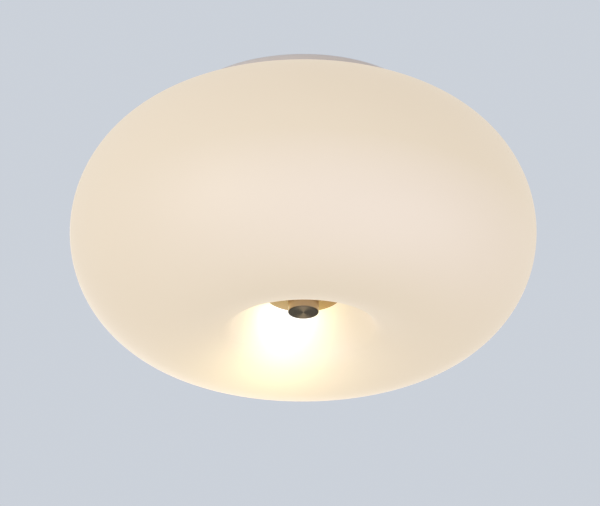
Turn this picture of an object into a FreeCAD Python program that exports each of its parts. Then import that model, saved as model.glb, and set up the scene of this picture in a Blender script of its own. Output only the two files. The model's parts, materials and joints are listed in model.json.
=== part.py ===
"""Flush mount ceiling light: an opal glass shade, round and dimpled below like a cushion, drawn up
against a white steel ceiling pan by a rod, a cover plate and a turned knob. Two lamps hang inside.

Millimetres. The origin is the centre of the pan's ceiling face, +Z is up, and the lamps stand on Y.
"""
import FreeCAD, Part
import math
import os
from FreeCAD import Vector

# ceiling pan, a dish pressed from sheet, with its open side down
pan_diameter = 192.0
pan_depth = 14.0
pan_sheet = 1.0
pan_corner_radius = 4.0

# rubber trim on the skirt's lower edge, which the glass is drawn up against
trim_side = 1.0
trim_grip = 3.0
trim_under = 1.7
touch_gap = 0.3

# glass shade
shade_diameter = 360.0
crown_height = 92.4
lip_depth = 91.1
lip_circle_share = 0.5183
glass_wall = 3.5
upper_side_arc = 61.0
lower_side_arc = 57.0
neck_opening_diameter = 156.0
dimple_depth = 41.6
shoulder_radius = 19.0
dimple_wall_slope = 62.0
dimple_root_radius = 15.0
seat_margin = 1.4
glass_hole_diameter = 20.0
glass_edge_chamfer = 0.6

# rod, and the stack that clamps the glass
rod_diameter = 10.0
thread_clearance = 0.05
slip_clearance = 0.5
gasket_thickness = 1.0
gasket_diameter = 44.0
plate_diameter = 58.4
plate_thickness = 1.5
plate_edge_radius = 0.5
knob_diameter = 23.6
knob_height = 14.2
knob_edge_chamfer = 0.5
knob_bore_depth = 12.0
knob_washer_diameter = 17.0
knob_washer_thickness = 0.8
rod_end_gap = 1.5

# bridge: a folded strip that stands off the pan and carries the rod and the lampholders
bridge_standoff = 10.0
bridge_sheet = 1.2
bridge_width = 34.0
bridge_foot = 12.0
bridge_bend_radius = 1.0
bridge_rivet_side = 10.0

# fixings
nut_across_flats = 17.0
nut_height = 8.0
thin_nut_height = 6.0
nut_washer_diameter = 20.0
nut_washer_thickness = 1.0
rod_above_nut = 0.5
rivet_diameter = 3.2
rivet_flush_diameter = 5.2
rivet_head_diameter = 6.0
rivet_head_height = 1.2
fit_clearance = 0.1

# spring clips that centre the glass neck
clip_count = 3
clip_sheet = 0.8
clip_width = 12.0
clip_foot = 17.0
clip_reach = 24.0
clip_kick = 2.0
clip_neck_gap = 0.6

# slots for the ceiling screws, and the cable bush
slot_spacing = 92.0
slot_width = 5.5
slot_length = 14.0
bush_place = (52.0, -48.0)
cable_diameter = 9.0
bush_spigot_diameter = 16.0
bush_flange_diameter = 22.0
bush_flange_thickness = 2.0
bush_nozzle_diameter = 13.0
bush_length = 9.0

# lampholders
lamp_offset = 39.0
holder_diameter = 42.0
holder_mouth_diameter = 38.0
holder_base_height = 15.0
holder_height = 46.0
holder_cavity_diameter = 29.2
holder_cavity_depth = 33.0
holder_flat = 17.5
shell_outer_diameter = 28.4
shell_sheet = 0.5
shell_length = 20.0
shell_recess = 7.0
shell_flange_bore = 15.0
contact_sheet = 0.6
contact_width = 6.0
contact_foot = 5.0
holder_screw_side = 11.0
holder_screw_diameter = 3.8
holder_screw_length = 7.0
screw_head_diameter = 7.5
screw_head_height = 2.6
screw_slot_width = 1.0
screw_slot_depth = 1.2
wire_hole_side = 5.0
wire_hole_drop = 6.0
wire_hole_depth = 8.0

# lamps
lamp_length = 105.0
lamp_diameter = 60.0
lamp_insertion = 25.0
cap_diameter = 25.4
cap_sheet = 0.5
cap_length = 22.0
tip_diameter = 9.6
tip_height = 2.0
insulator_height = 3.5
neck_diameter = 23.8
neck_in_cap = 11.0
bulb_wall = 0.8
bulb_flare_start = 30.0
stem_diameter = 7.0
mount_rod_diameter = 2.4
star_diameter = 20.0
star_thickness = 1.0
filament_count = 4
filament_diameter = 1.8
filament_length = 36.0
filament_start = 56.0
filament_circle = 15.0

# terminal block
block_place = (56.0, 37.5)
block_length = 30.0
block_width = 17.0
block_height = 13.0
pole_spacing = 10.0
pole_count = 3
pole_entry_width = 4.6
pole_entry_height = 7.0
pole_entry_depth = 6.0
pole_middle_drop = 6.75
clamp_wall = 0.8
clamp_floor = 2.0
clamp_screw_diameter = 2.6
clamp_screw_inset = 4.0
clamp_screw_recess = 1.5
block_rivet_recess = 0.3

# earth screw
earth_side = 12.0
earth_from_holder = 5.0
earth_from_leg = 6.5
earth_screw_diameter = 3.8
earth_nut_flats = 7.0
earth_nut_height = 3.0
tag_diameter = 8.5
tag_sheet = 0.8
tag_barrel_diameter = 3.4
tag_barrel_length = 6.0

wire_diameter = 1.9

# places that follow from the sizes above
skirt_middle = (pan_diameter - pan_sheet) / 2
crown_z = -(pan_depth + trim_under + touch_gap)
equator_z = crown_z - crown_height
lip_z = equator_z - lip_depth
seat_z = lip_z + dimple_depth
plate_top = seat_z - gasket_thickness
plate_bottom = plate_top - plate_thickness
knob_bottom = plate_bottom - knob_height
rod_bottom = plate_bottom - knob_bore_depth + rod_end_gap
web_top = -pan_sheet - bridge_standoff
web_bottom = web_top - bridge_sheet
thin_nut_top = web_top + nut_washer_thickness + thin_nut_height
rod_top = thin_nut_top + rod_above_nut
mouth_z = web_bottom - holder_height
cavity_top = mouth_z + holder_cavity_depth
lamp_top = mouth_z + lamp_insertion
wire_hole_z = web_bottom - wire_hole_drop
earth_place = (earth_side, lamp_offset + holder_flat + earth_from_holder)
bridge_span = 2 * (earth_place[1] + earth_from_leg)
tag_barrel_z = web_bottom - tag_barrel_diameter / 2 - 0.2
neck_radius = neck_opening_diameter / 2

ORIGIN = Vector(0, 0, 0)
UP = Vector(0, 0, 1)


def section_point(place):
    """A radius and a height, as a point of the XZ plane."""
    return Vector(place[0], 0, place[1])


def on_circle(centre, radius, degrees):
    angle = math.radians(degrees)
    return (centre[0] + radius * math.cos(angle), centre[1] + radius * math.sin(angle))


def arc(centre, radius, first, last):
    """An arc of the section, from one angle to another in degrees, as (start, middle, end)."""
    return tuple(on_circle(centre, radius, a) for a in (first, (first + last) / 2, last))


def dome(radius, base, rise):
    """The section of a domed end: an arc from the rim to the axis, centred on the axis. rise may be negative."""
    way = math.copysign(1, rise)
    sphere = (radius ** 2 + rise ** 2) / (2 * abs(rise))
    centre = (0, base + rise - way * sphere)
    first = math.degrees(math.atan2(base - centre[1], radius))
    return arc(centre, sphere, first, way * 90)


def section_face(pieces):
    """A closed face in the XZ plane. A piece is a corner, or an arc of three points; straight lines join them."""
    edges = []
    first = last = None
    for piece in pieces:
        is_arc = isinstance(piece[0], tuple)
        start = section_point(piece[0] if is_arc else piece)
        if last is None:
            first = start
        elif start.distanceToPoint(last) > 1e-7:
            edges.append(Part.LineSegment(last, start).toShape())
        last = start
        if is_arc:
            end = section_point(piece[2])
            edges.append(Part.Arc(start, section_point(piece[1]), end).toShape())
            last = end
    if last.distanceToPoint(first) > 1e-7:
        edges.append(Part.LineSegment(last, first).toShape())
    return Part.Face(Part.Wire(edges))


def backwards(pieces):
    """The same run of pieces, gone along from its other end."""
    return [tuple(reversed(p)) if isinstance(p[0], tuple) else p for p in reversed(pieces)]


def mirrored(pieces):
    """The pieces on the other side of the Z axis, in the order that carries on from the first ones."""
    def flip(place):
        return (-place[0], place[1])
    return [tuple(flip(q) for q in p) if isinstance(p[0], tuple) else flip(p) for p in backwards(pieces)]


def turned(pieces, x=0.0, y=0.0):
    """A solid of revolution about the vertical line through x, y."""
    solid = section_face(pieces).revolve(ORIGIN, UP, 360)
    solid.translate(Vector(x, y, 0))
    return solid


def disc(diameter, z_low, z_high, x=0.0, y=0.0):
    return Part.makeCylinder(diameter / 2, z_high - z_low, Vector(x, y, z_low), UP)


def box(x_low, x_high, y_low, y_high, z_low, z_high):
    corner = Vector(x_low, y_low, z_low)
    return Part.makeBox(x_high - x_low, y_high - y_low, z_high - z_low, corner)


def merged(solids):
    first, *others = solids
    return first.fuse(others).removeSplitter()


def edges_at(solid, is_wanted):
    """The straight edges for whose two ends is_wanted(point) holds."""
    return [e for e in solid.Edges if len(e.Vertexes) == 2 and all(is_wanted(v.Point) for v in e.Vertexes)]


def around_axis(solid, count, first=0.0):
    """Copies of a solid, evenly turned about Z."""
    copies = []
    for i in range(count):
        copy = solid.copy()
        copy.rotate(ORIGIN, UP, first + i * 360.0 / count)
        copies.append(copy)
    return copies


# ---- ceiling pan and trim ----

def flush_hole(x, y):
    """The cut for a flush rivet in the pan: a straight hole with a countersink at the ceiling face."""
    hole = disc(rivet_diameter + 2 * fit_clearance, -2 * pan_sheet, pan_sheet, x, y)
    wide = rivet_flush_diameter / 2 + fit_clearance
    narrow = rivet_diameter / 2 + fit_clearance
    sink = Part.makeCone(narrow, wide, pan_sheet, Vector(x, y, -pan_sheet), UP)
    return hole.fuse(sink)


def screw_slot(x):
    straight = slot_length - slot_width
    body = box(x - straight / 2, x + straight / 2, -slot_width / 2, slot_width / 2, -2 * pan_sheet, pan_sheet)
    ends = [disc(slot_width, -2 * pan_sheet, pan_sheet, x + side * straight / 2) for side in (-1, 1)]
    return body.fuse(ends)


def bridge_rivet_places():
    middle = bridge_span / 2 + bridge_foot / 2
    return [(sx * bridge_rivet_side, sy * middle) for sx in (-1, 1) for sy in (-1, 1)]


def clip_rivet_radius():
    return neck_radius - clip_neck_gap - clip_foot * 0.6


def ceiling_pan():
    outer = pan_diameter / 2
    inner = outer - pan_sheet
    corner = pan_corner_radius
    corner_centre = (outer - corner, -corner)
    dish = turned([
        (0, 0), arc(corner_centre, corner, 90, 0), (outer, -pan_depth), (inner, -pan_depth),
        arc(corner_centre, corner - pan_sheet, 0, 90), (0, -pan_sheet),
    ])
    cuts = [screw_slot(side * slot_spacing / 2) for side in (-1, 1)]
    cuts.append(disc(bush_spigot_diameter + 2 * fit_clearance, -2 * pan_sheet, pan_sheet, *bush_place))
    cuts += [flush_hole(x, y) for x, y in bridge_rivet_places()]
    cuts += around_axis(flush_hole(clip_rivet_radius(), 0), clip_count)
    cuts += [flush_hole(x, y) for x, y in block_rivet_places()]
    return dish.cut(cuts)


def edge_trim():
    """A U-shaped rubber strip pushed over the skirt's edge."""
    outer = pan_diameter / 2
    inner = outer - pan_sheet
    top = -pan_depth + trim_grip
    bottom = -pan_depth - trim_under
    return turned([
        (inner - trim_side, top), (inner, top), (inner, -pan_depth), (outer, -pan_depth), (outer, top),
        (outer + trim_side, top), (outer + trim_side, bottom + trim_side), (outer, bottom), (inner, bottom),
        (inner - trim_side, bottom + trim_side),
    ])


def flush_rivet(x, y, grip):
    """A rivet whose flat head is flush with the ceiling face. grip is the depth of sheet under the pan."""
    shank = rivet_diameter / 2
    tail_top = -pan_sheet - grip
    return turned([
        (0, 0), (rivet_flush_diameter / 2, 0), (shank, -pan_sheet), (shank, tail_top),
        dome(rivet_head_diameter / 2, tail_top, -rivet_head_height),
    ], x, y)


# ---- bridge, rod and nuts ----

def bridge():
    """A strip folded into a top hat: feet on the pan, legs, and a web below them."""
    half = bridge_span / 2
    sheet = bridge_sheet
    bend = bridge_bend_radius
    tip = half + bridge_foot
    foot_top, foot_bottom = -pan_sheet, -pan_sheet - sheet
    foot_centre = (half + bend + sheet, foot_bottom - bend)
    web_centre = (half - bend, web_top + bend)
    right = [
        arc(web_centre, bend + sheet, -90, 0), arc(foot_centre, bend, 180, 90), (tip, foot_bottom),
        (tip, foot_top), arc(foot_centre, bend + sheet, 90, 180), arc(web_centre, bend, 0, -90),
    ]
    strip = section_face(right + mirrored(right)).extrude(Vector(0, bridge_width, 0))
    strip.translate(Vector(0, -bridge_width / 2, 0))
    strip.rotate(ORIGIN, UP, 90)
    web_holes = [(rod_diameter, 0, 0), (earth_screw_diameter, *earth_place)]
    web_holes += [(holder_screw_diameter, x, y) for x, y in holder_screw_places()]
    cuts = [disc(size + 2 * fit_clearance, web_bottom - 1, web_top + 1, x, y) for size, x, y in web_holes]
    for x, y in bridge_rivet_places():
        cuts.append(disc(rivet_diameter + 2 * fit_clearance, foot_bottom - 1, foot_top + 1, x, y))
    return strip.cut(cuts)


def rod():
    radius = rod_diameter / 2
    chamfer = radius * 0.16
    return turned([
        (0, rod_top), (radius - chamfer, rod_top), (radius, rod_top - chamfer),
        (radius, rod_bottom + chamfer), (radius - chamfer, rod_bottom), (0, rod_bottom),
    ])


def hex_nut(across_flats, bore, z_low, z_high, x=0.0, y=0.0):
    """A hexagon nut with its corners turned off at both faces."""
    corner = across_flats / math.sqrt(3)
    points = [Vector(*on_circle((0, 0), corner, 30 + 60 * i), z_low) for i in range(6)]
    prism = Part.Face(Part.makePolygon(points + points[:1])).extrude(Vector(0, 0, z_high - z_low))
    turned_off = corner - across_flats / 2
    drop = turned_off * 0.6
    blank = turned([
        (0, z_high), (corner - turned_off, z_high), (corner, z_high - drop), (corner, z_low + drop),
        (corner - turned_off, z_low), (0, z_low),
    ])
    nut = prism.common(blank).cut(disc(bore, z_low - 1, z_high + 1))
    nut.translate(Vector(x, y, 0))
    return nut


def washer(outside, bore, z_low, z_high):
    return disc(outside, z_low, z_high).cut(disc(bore, z_low - 1, z_high + 1))


def rod_washers():
    bore = rod_diameter + 2 * fit_clearance
    above = washer(nut_washer_diameter, bore, web_top, web_top + nut_washer_thickness)
    below = washer(nut_washer_diameter, bore, web_bottom - nut_washer_thickness, web_bottom)
    return [above, below]


def rod_nut_upper():
    return hex_nut(nut_across_flats, rod_diameter + 2 * thread_clearance, thin_nut_top - thin_nut_height, thin_nut_top)


def rod_nut_lower():
    top = web_bottom - nut_washer_thickness
    return hex_nut(nut_across_flats, rod_diameter + 2 * thread_clearance, top - nut_height, top)


# ---- centring clips ----

def centring_clip():
    """A spring strip: a foot under the pan and a leg down inside the glass neck, kicked in at its end."""
    outer = neck_radius - clip_neck_gap
    sheet = clip_sheet
    bend = 2 * sheet
    top = -pan_sheet
    low = top - clip_reach
    kick_top = low + 2 * clip_kick
    leg = [
        (outer - clip_foot, top), ((outer - bend, top), on_circle((outer - bend, top - bend), bend, 45),
                                   (outer, top - bend)),
        (outer, kick_top), (outer - clip_kick, low), (outer - clip_kick - sheet, low),
        (outer - sheet, kick_top),
        ((outer - sheet, top - bend), on_circle((outer - bend, top - bend), bend - sheet, 45),
         (outer - bend, top - sheet)),
        (outer - clip_foot, top - sheet),
    ]
    clip = section_face(leg).extrude(Vector(0, clip_width, 0))
    clip.translate(Vector(0, -clip_width / 2, 0))
    hole = disc(rivet_diameter + 2 * fit_clearance, top - 2 * sheet, top + sheet, clip_rivet_radius())
    return clip.cut(hole)


# ---- cable bush ----

def cable_bush():
    bore = cable_diameter / 2
    spigot = bush_spigot_diameter / 2
    flange = bush_flange_diameter / 2
    nozzle = bush_nozzle_diameter / 2
    flange_low = -pan_sheet - bush_flange_thickness
    return turned([
        (bore, 0), (spigot, 0), (spigot, -pan_sheet), (flange, -pan_sheet), (flange, flange_low),
        (nozzle, flange_low), (nozzle - 1, -bush_length), (bore, -bush_length),
    ], *bush_place)


# ---- lampholders ----

def holder_screw_places():
    return [(sx * holder_screw_side, sy * lamp_offset) for sx in (-1, 1) for sy in (-1, 1)]


def lampholder_body(y):
    """A porcelain cup, mouth down, with two flats, screw holes in its back and wire holes in its side."""
    base = holder_diameter / 2
    mouth = holder_mouth_diameter / 2
    cavity = holder_cavity_diameter / 2
    base_low = web_bottom - holder_base_height
    edge = 1.5
    cup = turned([
        (0, web_bottom), (base - edge, web_bottom), (base, web_bottom - edge), (base, base_low),
        (mouth, base_low - (base - mouth)), (mouth, mouth_z + edge), (mouth - edge, mouth_z),
        (cavity, mouth_z), (cavity, cavity_top), (0, cavity_top),
    ], 0, y)
    reach = holder_diameter
    cuts = []
    for side in (-1, 1):
        flat = box(-reach, reach, 0, reach, base_low, web_bottom + 1)
        flat.translate(Vector(0, holder_flat, 0))
        if side < 0:
            flat.rotate(ORIGIN, UP, 180)
        flat.translate(Vector(0, y, 0))
        cuts.append(flat)
        screw_bore = holder_screw_diameter + 2 * fit_clearance
        low = web_bottom - holder_screw_length - 1
        cuts.append(disc(screw_bore, low, web_bottom + 1, side * holder_screw_side, y))
        wire_hole = Part.makeCylinder(wire_diameter / 2 + touch_gap, wire_hole_depth + reach,
                                      Vector(base - wire_hole_depth, y + side * wire_hole_side, wire_hole_z),
                                      Vector(1, 0, 0))
        cuts.append(wire_hole)
    return cup.cut(cuts)


def lampholder_shell(y):
    """The screw shell: a thin brass cup with an open mouth and a flange at its back."""
    outer = shell_outer_diameter / 2
    inner = outer - shell_sheet
    low = mouth_z + shell_recess
    high = low + shell_length
    bore = shell_flange_bore / 2
    return turned([
        (bore, high), (outer, high), (outer, low), (inner, low), (inner, high - shell_sheet),
        (bore, high - shell_sheet),
    ], 0, y)


def lampholder_contact(y):
    """The centre contact: a leaf fixed to the cavity's roof, bent down to meet the lamp's tip."""
    meet = lamp_top + touch_gap
    roof = cavity_top
    tail = shell_flange_bore / 2 - 1
    sheet = contact_sheet
    nose = contact_width / 2
    outline = [
        (tail, roof), (tail, roof - sheet), (tail - contact_foot + sheet, roof - sheet),
        (nose, meet), (-nose, meet), (-nose, meet + sheet), (nose - sheet, meet + sheet),
        (tail - contact_foot, roof),
    ]
    strip = section_face(outline).extrude(Vector(0, contact_width, 0))
    strip.translate(Vector(0, y - contact_width / 2, 0))
    return strip


def pan_head_screw(diameter, z_seat, z_end, x, y, upward_head):
    """A slotted pan-head screw. Its head stands on z_seat and its plain shank ends at z_end."""
    way = 1 if upward_head else -1
    head = screw_head_diameter / 2
    top = z_seat + way * screw_head_height
    screw = turned([
        (0, z_end), (diameter / 2, z_end), (diameter / 2, z_seat), (head, z_seat),
        ((head, z_seat), (head * 0.86, z_seat + way * screw_head_height * 0.72), (head * 0.5, top)),
        (0, top),
    ], x, y)
    low, high = sorted((top - way * screw_slot_depth, top + way))
    cut = box(x - head, x + head, y - screw_slot_width / 2, y + screw_slot_width / 2, low, high)
    return screw.cut(cut)


def holder_screws():
    end = web_bottom - holder_screw_length
    return [pan_head_screw(holder_screw_diameter, web_top, end, x, y, True) for x, y in holder_screw_places()]


# ---- lamps ----

def lamp_tip(y):
    """The solder contact at the very end of the cap."""
    low = lamp_top - tip_height
    return turned([(0, low), dome(tip_diameter / 2, low, tip_height)], 0, y)


def lamp_insulator(y):
    """The black glass cone between the tip and the threaded cap."""
    high = lamp_top - tip_height
    low = high - insulator_height
    return turned([
        (0, high), (tip_diameter / 2 + 0.4, high), (cap_diameter / 2 - 2.5, low), (0, low),
    ], 0, y)


def lamp_cap(y):
    """The screw cap, with its thread taken at the root diameter."""
    outer = cap_diameter / 2
    high = lamp_top - tip_height - insulator_height
    shoulder = high - 2.0
    low = high - cap_length
    rim = cap_sheet * 1.5
    return turned([
        (outer - 2.5, high), (outer, shoulder), (outer, low + rim), (outer + rim, low), (outer - cap_sheet, low),
        (outer - cap_sheet, shoulder), (outer - 2.5 - cap_sheet, high - cap_sheet), (0, high - cap_sheet),
        (0, high),
    ], 0, y)


def bulb_section(offset):
    """The bulb's outline, that far inside its outer face: neck line, flare arc, globe arc."""
    neck = neck_diameter / 2
    globe = lamp_diameter / 2
    globe_z = lamp_top - lamp_length + globe
    flare_z = lamp_top - bulb_flare_start
    drop = flare_z - globe_z
    flare = (drop ** 2 - globe ** 2 + neck ** 2) / (2 * (globe - neck))
    flare_centre = (neck + flare, flare_z)
    meet = math.degrees(math.atan2(drop, neck + flare))
    neck_top = (neck - offset, lamp_top - tip_height - insulator_height - cap_length + neck_in_cap)
    return [
        neck_top,
        arc(flare_centre, flare + offset, 180, 180 + meet),
        arc((0, globe_z), globe - offset, meet, -90),
    ]


def lamp_bulb(y):
    """The opal glass bulb, as a shell open at its neck."""
    return turned(bulb_section(0.0) + backwards(bulb_section(bulb_wall)), 0, y)


def lamp_mount(y):
    """The glass stem with the wire and the two stars that hold the filaments."""
    stem = stem_diameter / 2
    wire = mount_rod_diameter / 2
    star = star_diameter / 2
    flare = neck_diameter / 2 - bulb_wall - touch_gap
    top = lamp_top - tip_height - insulator_height - cap_length + neck_in_cap
    upper = lamp_top - filament_start
    lower = upper - filament_length
    return turned([
        (0, top), (flare, top), (flare, top - 1.5), (stem, top - 9.0), (stem, upper + 4.0), (wire, upper + 2.0),
        (wire, upper + star_thickness), (star, upper + star_thickness), (star, upper), (wire, upper),
        (wire, lower), (star, lower), (star, lower - star_thickness), (0, lower - star_thickness),
    ], 0, y)


def lamp_filaments(y):
    upper = lamp_top - filament_start
    stick = disc(filament_diameter, upper - filament_length, upper, filament_circle / 2)
    sticks = around_axis(stick, filament_count, 45.0)
    for stick in sticks:
        stick.translate(Vector(0, y, 0))
    return sticks


# ---- terminal block ----

def pole_offsets():
    return [(i - (pole_count - 1) / 2) * pole_spacing for i in range(pole_count)]


def block_rivet_places():
    half = pole_spacing / 2
    x, y = block_place
    return [(x, y - half), (x, y + half)]


def pole_entry(y, side):
    """The cut for one wire entry, open at the block's side face."""
    x = block_place[0] + side * (block_width / 2 - pole_entry_depth / 2)
    low = -pan_sheet - pole_middle_drop - pole_entry_height / 2
    return box(x - pole_entry_depth / 2 - 0.01, x + pole_entry_depth / 2 + 0.01, y - pole_entry_width / 2,
               y + pole_entry_width / 2, low, low + pole_entry_height)


def clamp_box(y, grow=0.0):
    x = block_place[0]
    low = -pan_sheet - pole_middle_drop - pole_entry_height / 2 - clamp_wall
    high = low + pole_entry_height + 2 * clamp_wall
    half_x = block_width / 2 - clamp_floor + grow
    half_y = pole_entry_width / 2 + clamp_wall + grow
    return box(x - half_x, x + half_x, y - half_y, y + half_y, low - grow, high + grow)


def clamp_screw_places(y):
    inset = block_width / 2 - clamp_screw_inset
    return [(block_place[0] + side * inset, y) for side in (-1, 1)]


def terminal_block():
    """A moulded three-pole block. Each pole is a pocket for a brass clamp, with a wire entry at each end."""
    x, y = block_place
    low = -pan_sheet - block_height
    body = box(x - block_width / 2, x + block_width / 2, y - block_length / 2, y + block_length / 2, low, -pan_sheet)
    body = body.makeFillet(1.0, edges_at(body, lambda p: abs(p.z - low) < 1e-6))
    cuts = []
    for offset in pole_offsets():
        cuts.append(clamp_box(y + offset, fit_clearance))
        cuts += [pole_entry(y + offset, side) for side in (-1, 1)]
        for sx, sy in clamp_screw_places(y + offset):
            cuts.append(disc(clamp_screw_diameter + 1.2, low - 1, -pan_sheet - pole_middle_drop, sx, sy))
    for rx, ry in block_rivet_places():
        cuts.append(disc(rivet_diameter + 2 * fit_clearance, low - 1, 0, rx, ry))
        cuts.append(disc(rivet_head_diameter + 2 * fit_clearance, low - 1, low + rivet_head_height + block_rivet_recess, rx, ry))
    return body.cut(cuts)


def terminal_clamps():
    clamps = []
    for offset in pole_offsets():
        y = block_place[1] + offset
        tunnel = clamp_box(y)
        hollow = clamp_box(y, -clamp_wall)
        hollow = hollow.fuse(hollow.translated(Vector(block_width / 2, 0, 0)))
        hollow = hollow.fuse(hollow.translated(Vector(-block_width, 0, 0)))
        holes = [disc(clamp_screw_diameter, -pan_sheet - block_height, -pan_sheet - pole_middle_drop, sx, sy)
                 for sx, sy in clamp_screw_places(y)]
        clamps.append(tunnel.cut([hollow] + holes))
    return clamps


def terminal_screws():
    screws = []
    low = -pan_sheet - block_height + clamp_screw_recess
    high = -pan_sheet - pole_middle_drop - pole_entry_height / 2 + 0.8
    for offset in pole_offsets():
        for x, y in clamp_screw_places(block_place[1] + offset):
            screw = disc(clamp_screw_diameter - 2 * thread_clearance, low, high, x, y)
            radius = clamp_screw_diameter
            slot = box(x - radius, x + radius, y - 0.25, y + 0.25, low - 1, low + 0.8)
            screws.append(screw.cut(slot))
    return screws


# ---- earth screw and wires ----

def earth_screw():
    return pan_head_screw(earth_screw_diameter, web_bottom - tag_sheet, web_top + earth_nut_height + 1.0,
                          *earth_place, False)


def earth_nut():
    bore = earth_screw_diameter + 2 * thread_clearance
    return hex_nut(earth_nut_flats, bore, web_top, web_top + earth_nut_height, *earth_place)


def tag_direction():
    return Vector(1.0, -0.45, 0.0).normalize()


def earth_tag():
    """A ring tag under the earth screw's head, with a barrel that grips the wire."""
    x, y = earth_place
    low = web_bottom - tag_sheet
    ring = disc(tag_diameter, low, web_bottom, x, y)
    way = tag_direction()
    start = Vector(x, y, tag_barrel_z) + way * (tag_diameter / 2 - 0.5)
    barrel = Part.makeCylinder(tag_barrel_diameter / 2, tag_barrel_length, start, way)
    solid = merged([ring, barrel])
    bore = Part.makeCylinder(wire_diameter / 2 + fit_clearance, tag_barrel_length, start + way * 1.5, way)
    hole = disc(earth_screw_diameter + 2 * fit_clearance, low - 1, web_bottom + 1, x, y)
    return solid.cut([bore, hole])


def pole_level(level):
    """The height of a wire in its pole: 1 is the upper of two, -1 the lower."""
    return -pan_sheet - pole_middle_drop + level * 1.75


def wire_ends():
    """Where wires start in the holders and end in the block."""
    start_x = holder_diameter / 2 - wire_hole_depth + 1.0
    face_x = block_place[0] - block_width / 2
    return start_x, face_x, face_x + 4.5


def wire_routes():
    """The points of each wire's route, by colour. Arcs round off the corners."""
    start_x, face_x, end_x = wire_ends()
    live_y, neutral_y, earth_y = (block_place[1] + offset for offset in pole_offsets())
    near, far = lamp_offset - wire_hole_side, lamp_offset + wire_hole_side
    z = wire_hole_z
    high, low, middle = pole_level(1), pole_level(-1), pole_level(0)
    x, y = earth_place
    way = tag_direction()
    barrel = Vector(x, y, tag_barrel_z) + way * (tag_diameter / 2 + 1.2)
    out = barrel + way * 8.0
    live = [
        [(start_x, near, z), (28, near, z), (38, live_y + 0.5, -11), (face_x - 2, live_y, low), (end_x, live_y, low)],
        [(start_x, -far, z), (29, -far, z), (36, -32, -15), (37, -14, -11), (36.5, 5, -7.5), (38.5, 20, high),
         (45, live_y, high), (end_x, live_y, high)],
    ]
    neutral = [
        [(start_x, far, z), (28, far, z), (38, neutral_y + 1, -11), (face_x - 2, neutral_y, low),
         (end_x, neutral_y, low)],
        [(start_x, -near, z), (25, -near, z), (31, -24, -14), (32.5, -6, -10), (32, 13, -7), (34, 29, high),
         (42, neutral_y, high), (end_x, neutral_y, high)],
    ]
    earth = [
        [tuple(barrel), tuple(out), (35, 49, -10.5), (face_x - 3.5, earth_y, middle), (end_x, earth_y, middle)],
    ]
    return {"live": live, "neutral": neutral, "earth": earth}


def wire(route, label):
    """A tube along straight runs joined by tangent arcs, each as large as its two runs allow."""
    points = [Vector(*p) for p in route]
    edges = []
    last = points[0]
    tightest = None
    for before, corner, after in zip(points, points[1:], points[2:]):
        back = (before - corner).normalize()
        on = (after - corner).normalize()
        turn = math.pi - back.getAngle(on)
        share = 0.45 * min(before.distanceToPoint(corner), after.distanceToPoint(corner))
        radius = share / math.tan(turn / 2)
        tightest = radius if tightest is None else min(tightest, radius)
        start, end = corner + back * share, corner + on * share
        middle_way = (back + on).normalize()
        middle = corner + middle_way * (radius / math.cos(turn / 2) - radius)
        edges.append(Part.LineSegment(last, start).toShape())
        edges.append(Part.Arc(start, middle, end).toShape())
        last = end
    edges.append(Part.LineSegment(last, points[-1]).toShape())
    path = Part.Wire(edges)
    profile = Part.Wire([Part.Circle(points[0], points[1] - points[0], wire_diameter / 2).toShape()])
    tube = path.makePipeShell([profile], True, False)
    expected = math.pi * (wire_diameter / 2) ** 2 * path.Length
    print(f"{label}: length {path.Length:.1f}, tightest bend {tightest:.1f}, volume share {tube.Volume / expected:.4f}")
    return tube


def wires(colour):
    return [wire(route, f"{colour} wire {i}") for i, route in enumerate(wire_routes()[colour])]


# ---- glass shade ----

def side_arcs(half_width, height, side_arc):
    """The radii of the side arc and of the crown or lip arc that give the half width and the height."""
    end = math.radians(side_arc)
    extra = (height - half_width) / (math.sin(end) + math.cos(end) - 1)
    turn_radius = height - extra * math.sin(end)
    return turn_radius + extra, turn_radius


def shoulder_place(wall_high, wall_normal, lip_centre, lip):
    """The centre of the shoulder arc, which touches the dimple's sloping wall and the lip arc."""
    normal = on_circle((0, 0), 1, wall_normal)
    down = on_circle((0, 0), 1, wall_normal + 90)
    start = (wall_high[0] - shoulder_radius * normal[0], wall_high[1] - shoulder_radius * normal[1])
    away = (start[0] - lip_centre[0], start[1] - lip_centre[1])
    along = away[0] * down[0] + away[1] * down[1]
    apart = away[0] ** 2 + away[1] ** 2 - (lip - shoulder_radius) ** 2
    run = -along + math.sqrt(along ** 2 - apart)
    return (start[0] + run * down[0], start[1] + run * down[1])


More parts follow.
